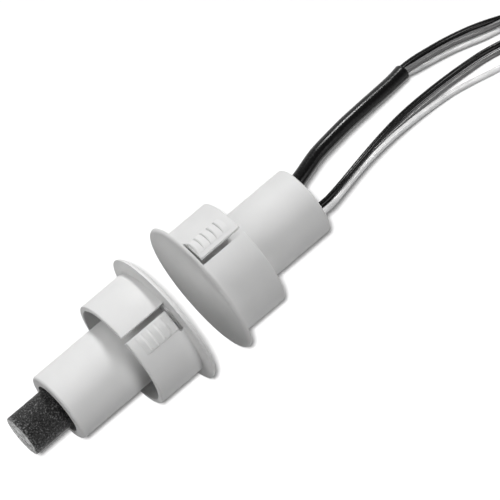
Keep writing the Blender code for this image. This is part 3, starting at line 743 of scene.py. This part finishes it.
def cut_snap_tab(housing, turn, form):
    """One tab: its teeth, then the axial slot beside it and the slot along the flange."""
    slot_angle = AXIAL_SLOT_WIDTH / COLLAR_R
    edge = TAB_SLOT_ANGLE + turn - slot_angle / 2
    side = edge - (form["margin"] + form["arc"]) / COLLAR_R
    for index in range(TOOTH_COUNT):
        tooth = make_tooth(TOOTH_START + index * TOOTH_PITCH, side, form)
        apply_boolean(housing, tooth, "UNION")
    cut_slot(housing, COLLAR_LENGTH + AXIAL_SLOT_WIDTH, edge, slot_angle)
    cut_slot(housing, SLOT_LEDGE + FLANGE_SLOT_WIDTH, edge - TAB_SPAN, TAB_SPAN + slot_angle / 2)


def make_housing(name, x, towards, tab_turn, tooth_form, body, cad_node, material):
    housing = turned_solid(name, housing_outline(), HOUSING_STEPS)
    for turn in (tab_turn, tab_turn + math.pi):
        cut_snap_tab(housing, turn, tooth_form)
    lay_along_x(housing, x, towards=towards)
    shade(housing)
    set_material(housing, material)
    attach(housing, body)
    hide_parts(cad_node)
    return housing


# Leads and sleeve

def make_lead(name, points, material, nodes):
    curve = bpy.data.curves.new(name, "CURVE")
    curve.dimensions = "3D"
    spline = curve.splines.new("POLY")
    spline.points.add(len(points) - 1)
    for target, point in zip(spline.points, points):
        target.co = (*point, 1.0)
    curve.bevel_depth = LEAD_R
    curve.bevel_resolution = LEAD_BEVEL_RESOLUTION
    curve.use_fill_caps = True
    spline.use_smooth = True
    lead = add_object(name, curve)
    set_material(lead, material)
    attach(lead, "switch")
    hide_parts(*nodes)
    return lead


def make_tip(name, points, material):
    """The stripped end of a lead: six strands twisted round a seventh."""
    start = points[-1]
    along = (points[-1] - points[-2]).normalized()
    side = along.orthogonal().normalized()
    up = along.cross(side)
    bm = bmesh.new()
    for strand in range(STRAND_COUNT):
        ring_r = 0.0 if strand == 0 else STRAND_RING_R
        sections = []
        for step in range(STRAND_STEPS + 1):
            share = step / STRAND_STEPS
            angle = strand * math.pi / 3 + share * STRAND_TWIST
            aside = (side * math.cos(angle) + up * math.sin(angle)) * ring_r
            centre = start + along * (TIP_LENGTH * share) + aside
            circle = circle_points(centre, side, up, STRAND_R, STRAND_SIDES)
            sections.append([bm.verts.new(point) for point in circle])
        join_rings(bm, sections)
        bm.faces.new(sections[0])
        bm.faces.new(sections[-1])
    tip = mesh_object(name, bm)
    shade(tip, sharp_degrees=50.0)
    set_material(tip, material)
    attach(tip, "switch")
    return tip


def sleeve_radius(angle, travelled, to_end):
    """The sleeve's outer radius in millimetres: drawn to three leads, and flared at its end."""
    place = Vector((travelled * SLEEVE_WAVES, math.cos(angle), math.sin(angle)))
    bulge = SLEEVE_BULGE * math.cos(3 * angle + SLEEVE_BULGE_TURN)
    bulge += SLEEVE_UNEVENNESS * noise.noise(place)
    flare = SLEEVE_FLARE * math.exp(-min(to_end, SLEEVE_FLARE_REACH) / SLEEVE_FLARE_FADE)
    return SLEEVE_R / MM - SLEEVE_DRAWN_IN + bulge + flare


def sleeve_rings(bm, line, inset):
    """Rings of one of the sleeve's two skins, which lies that far inside the outer one."""
    left, up = side_axes(line)
    steps = np.linalg.norm(np.diff(line, axis=0), axis=1)
    distances = np.concatenate([[0.0], np.cumsum(steps)])
    rings = []
    for centre, aside, above, travelled in zip(line, left, up, distances):
        ring = []
        for index in range(SLEEVE_SIDES):
            angle = 2 * math.pi * index / SLEEVE_SIDES
            radius = sleeve_radius(angle, travelled, distances[-1] - travelled) - inset
            point = centre + aside * (radius * math.cos(angle)) + above * (radius * math.sin(angle))
            ring.append(bm.verts.new(Vector(point) * MM))
        rings.append(ring)
    return rings


def make_sleeve(route, material):
    """Shrink sleeve: drawn a little to the three leads inside, with a rounded free end."""
    middle_lane = [(0.0, 0.0)] * SLEEVE_STATIONS
    line = lane_points(route[:SLEEVE_STATIONS], middle_lane, SLEEVE_SPACING)
    start = POTTING_REAR / MM + SLEEVE_START_GAP
    beyond = line[line[:, 0] > start + SLEEVE_FIRST_STEP]
    line = np.vstack([[start, line[0][1], line[0][2]], beyond])
    bm = bmesh.new()
    outer = sleeve_rings(bm, line, 0.0)
    inner = sleeve_rings(bm, line, SLEEVE_WALL / MM)
    for rings in (outer, inner, [outer[0], inner[0]], [outer[-1], inner[-1]]):
        join_rings(bm, rings)
    sleeve = mesh_object("shrink_sleeve", bm)
    bevel = sleeve.modifiers.new("rounding", "BEVEL")
    bevel.width = SLEEVE_BEVEL
    bevel.segments = 3
    bevel.limit_method = "ANGLE"
    bevel.angle_limit = math.radians(50)
    apply_modifiers(sleeve)
    shade(sleeve, sharp_degrees=60.0)
    set_material(sleeve, material)
    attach(sleeve, "switch")
    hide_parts("lead_sleeve")
    return sleeve


def make_leads():
    """The six leads with their stripped ends and coiled spare length, and the sleeve on three of
    them.
    """
    insulations = {
        "black": insulation("black_insulation", 0.003, 0.22, gloss=0.16),
        "grey": insulation("grey_insulation", 0.10, 0.30, coat=0.1),
        "white": insulation("white_insulation", 0.62, 0.34, coat=0.1),
    }
    tinned = metal("tinned_strands", (0.72, 0.71, 0.69), 0.34)
    routes = (
        (1, whole_route(1, SLEEVED_ROUTE), SLEEVED_LANES),
        (2, whole_route(-1, BARE_ROUTE), BARE_LANES),
    )
    sleeve = make_sleeve(routes[0][1], insulation("sleeve_skin", 0.008, 0.22, gloss=0.2))
    leads = []
    for number, route, lanes in routes:
        for colour, lane in lanes.items():
            ending = f"{number}_{colour}"
            nodes = [f"lead_{ending}"]
            if ending == "1_black":
                nodes.append("lead_coil")
            points = cord_points(route, lane)
            lead = make_lead(f"wire_{ending}", points, insulations[colour], nodes)
            tip = make_tip(f"stripped_{ending}", points, tinned)
            leads.append(lead)
    return leads, tinned


# Bar magnet

def magnet_outline():
    """Half the magnet's section, with rings close enough together to carry its rough skin."""
    radius = MAGNET_R
    edge = MAGNET_EDGE
    length = MAGNET_LENGTH
    outline = [(0.0, 0.0), (radius * 0.5, 0.0)]
    outline += arc_points((radius - edge, edge), edge, -90, 0, count=3)
    for index in range(1, MAGNET_SECTIONS):
        outline.append((radius, edge + (length - 2 * edge) * index / MAGNET_SECTIONS))
    outline += arc_points((radius - edge, length - edge), edge, 0, 90, count=3)
    outline += [(radius * share, length) for share in MAGNET_END_RINGS]
    outline.append((0.0, length))
    return outline


def roughen_magnet(mesh):
    """Moves the skin in and out by its cast grain, and chips the rim of the free end."""
    for vert in mesh.vertices:
        place = vert.co.copy()
        out = Vector((place.x, place.y, 0.0))
        if out.length < MAGNET_R * MAGNET_PLAIN_MIDDLE:
            continue
        grain = noise.noise(place * GRAIN_WAVES) * GRAIN_HEIGHT
        grain += noise.noise(place * LUMP_WAVES) * LUMP_HEIGHT
        to_rim = max(0.0, 1.0 - (MAGNET_LENGTH - place.z) / CHIP_REACH)
        chip = max(0.0, noise.noise(place * CHIP_WAVES + CHIP_PLACE)) * CHIP_DEPTH * to_rim
        vert.co = place + out.normalized() * ((grain - SKIN_INSET - chip) * MM)


def make_magnet(skin, ground):
    magnet = turned_solid("cast_magnet", magnet_outline(), MAGNET_STEPS)
    roughen_magnet(magnet.data)
    lay_along_x(magnet, MAGNET_START_X, y=MAGNET_SIDE_SHIFT, towards=-1)
    shade(magnet, sharp_degrees=40.0)
    magnet.data.materials.append(skin)
    magnet.data.materials.append(ground)
    for face in magnet.data.polygons:
        if face.center.x < MAGNET_END_X + GROUND_END_DEPTH:
            face.material_index = 1
    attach(magnet, "magnet")
    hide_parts("bar_magnet")


# Pieces that keep the shape of their solids

def dress(name, material):
    """Gives a solid's own piece smooth shading, sharp edges and a material."""
    obj = NODES[name]
    weld = obj.modifiers.new("weld", "WELD")
    weld.merge_threshold = 0.001 * MM
    obj.data.shade_smooth()
    split = obj.modifiers.new("edges", "EDGE_SPLIT")
    split.split_angle = math.radians(SHARP_DEGREES)
    set_material(obj, material)


def dress_solids(tinned):
    dress("potting", resin("potting_resin"))
    tie_plastic = moulded_plastic("tie_plastic", 0.86, 0.38)
    for name in ("coil_tie_1", "coil_tie_2"):
        dress(name, tie_plastic)
    glass = clear_glass("capsule_glass")
    reed_metal = metal("reed_metal", (0.72, 0.70, 0.66), 0.3)
    solder = metal("solder", (0.62, 0.62, 0.60), 0.38, grain_scale=1500.0)
    for name in NODES:
        if name.endswith("_glass"):
            dress(name, glass)
        elif name.startswith("reed_"):
            dress(name, reed_metal)
        elif name.startswith("solder_"):
            dress(name, solder)
        elif name.startswith("conductor_"):
            dress(name, tinned)


# Floor, world and lamps

def seen_rays(tree):
    """1 for what the camera sees, also in gloss and through glass, and 0 for plain light."""
    rays = node(tree, "ShaderNodeLightPath")
    seen = rays.outputs["Is Camera Ray"]
    for kind in ("Is Glossy Ray", "Is Transmission Ray"):
        seen = combine(tree, "MAXIMUM", seen, rays.outputs[kind])
    return seen


def floor_paper():
    """Plain paper: white and faintly glowing where it is seen, and dim as a source of light."""
    material = bpy.data.materials.new("floor_paper")
    material.use_nodes = True
    tree = material.node_tree
    tree.nodes.clear()
    seen = seen_rays(tree)
    colour = node(tree, "ShaderNodeMixRGB")
    colour.inputs["Color1"].default_value = (*grey(FLOOR_BOUNCE), 1.0)
    colour.inputs["Color2"].default_value = (*grey(FLOOR_WHITE), 1.0)
    tree.links.new(seen, colour.inputs["Fac"])
    paper = node(tree, "ShaderNodeBsdfDiffuse")
    tree.links.new(colour.outputs["Color"], paper.inputs["Color"])
    glow = node(tree, "ShaderNodeEmission")
    lift = node(tree, "ShaderNodeMath", operation="MULTIPLY")
    lift.inputs[1].default_value = FLOOR_GLOW
    tree.links.new(seen, lift.inputs[0])
    tree.links.new(lift.outputs[0], glow.inputs["Strength"])
    both = node(tree, "ShaderNodeAddShader")
    tree.links.new(paper.outputs[0], both.inputs[0])
    tree.links.new(glow.outputs[0], both.inputs[1])
    output = node(tree, "ShaderNodeOutputMaterial")
    tree.links.new(both.outputs[0], output.inputs["Surface"])
    return material


def make_floor():
    bm = bmesh.new()
    bmesh.ops.create_grid(bm, x_segments=1, y_segments=1, size=FLOOR_HALF_SIDE)
    mesh = bpy.data.meshes.new("floor")
    bm.to_mesh(mesh)
    bm.free()
    floor = add_object("floor", mesh)
    floor.location = (0.0, 0.0, FLOOR_Z)
    mesh.materials.append(floor_paper())
    return floor


def make_world():
    """A white backdrop up to a low height, where it is seen, and a dim sky above it."""
    world = bpy.data.worlds.new("studio")
    bpy.context.scene.world = world
    world.use_nodes = True
    tree = world.node_tree
    tree.nodes.clear()
    lit = node(tree, "ShaderNodeBackground", Strength=WORLD_LEVEL)
    shown = node(tree, "ShaderNodeBackground", Strength=1.0)
    place = node(tree, "ShaderNodeTexCoord")
    split = node(tree, "ShaderNodeSeparateXYZ")
    tree.links.new(place.outputs["Generated"], split.inputs["Vector"])
    backdrop = spread(tree, split.outputs["Z"], 1.0, 0.0, BACKDROP_LOW, BACKDROP_HIGH)
    mix = node(tree, "ShaderNodeMixShader")
    tree.links.new(combine(tree, "MULTIPLY", backdrop, seen_rays(tree)), mix.inputs["Fac"])
    tree.links.new(lit.outputs[0], mix.inputs[1])
    tree.links.new(shown.outputs[0], mix.inputs[2])
    output = node(tree, "ShaderNodeOutputWorld")
    tree.links.new(mix.outputs[0], output.inputs["Surface"])


def make_lamp(name, direction, distance, size, watts):
    data = bpy.data.lights.new(name, "AREA")
    data.shape = "DISK"
    data.size = size
    data.energy = watts
    lamp = add_object(name, data)
    direction = Vector(direction).normalized()
    lamp.location = direction * distance
    lamp.rotation_mode = "QUATERNION"
    lamp.rotation_quaternion = direction.to_track_quat("Z", "Y")
    return lamp


def link_lamp(lamp, receivers, state):
    """Lets a lamp light these objects alone (INCLUDE), or all but these (EXCLUDE)."""
    linked = bpy.data.collections.new(lamp.name + "_receivers")
    for index, receiver in enumerate(receivers):
        linked.objects.link(receiver)
        linked.collection_objects[index].light_linking.link_state = state
    lamp.light_linking.receiver_collection = linked


def shadow_direction():
    """Nearly the camera's direction, so that the shadow shows as a thin edge on one side."""
    forward, right, up = view_axes()
    across = (SHADOW_SIDE[0] * right + SHADOW_SIDE[1] * up).normalized()
    return math.cos(SHADOW_TILT) * -forward + math.sin(SHADOW_TILT) * across


def make_lights(floor, leads, switch_moulding):
    shadow_lamp = make_lamp("shadow_lamp", shadow_direction(), **SHADOW_LAMP)
    link_lamp(shadow_lamp, [floor], "INCLUDE")
    link_lamp(make_lamp("lead_lamp", **LEAD_LAMP), leads, "INCLUDE")
    for name, lamp in OBJECT_LAMPS.items():
        link_lamp(make_lamp(name, **lamp), [floor], "EXCLUDE")
    link_lamp(make_lamp("end_lamp", **END_LAMP), [floor, switch_moulding], "EXCLUDE")


# Scene

def clear_startup_objects():
    for obj in list(bpy.data.objects):
        if obj.type in ("CAMERA", "LIGHT") or obj.name == "Cube":
            bpy.data.objects.remove(obj)


def main():
    clear_startup_objects()
    bpy.context.scene.view_settings.view_transform = "Standard"
    make_camera()
    leads, tinned = make_leads()
    plastic = moulded_plastic("white_moulded_plastic", 0.87, 0.60)
    switch_moulding = make_housing(
        "switch_moulding", 0.0, 1, 0.0, SWITCH_TOOTH, "switch", "switch_housing", plastic)
    make_housing(
        "magnet_moulding", MAGNET_SEAT_X, -1, MAGNET_TAB_TURN, MAGNET_TOOTH, "magnet",
        "magnet_housing", plastic)
    make_magnet(cast_magnet("cast_magnet_skin"), ground_magnet("ground_magnet_end"))
    dress_solids(tinned)
    make_world()
    make_lights(make_floor(), leads, switch_moulding)


main()
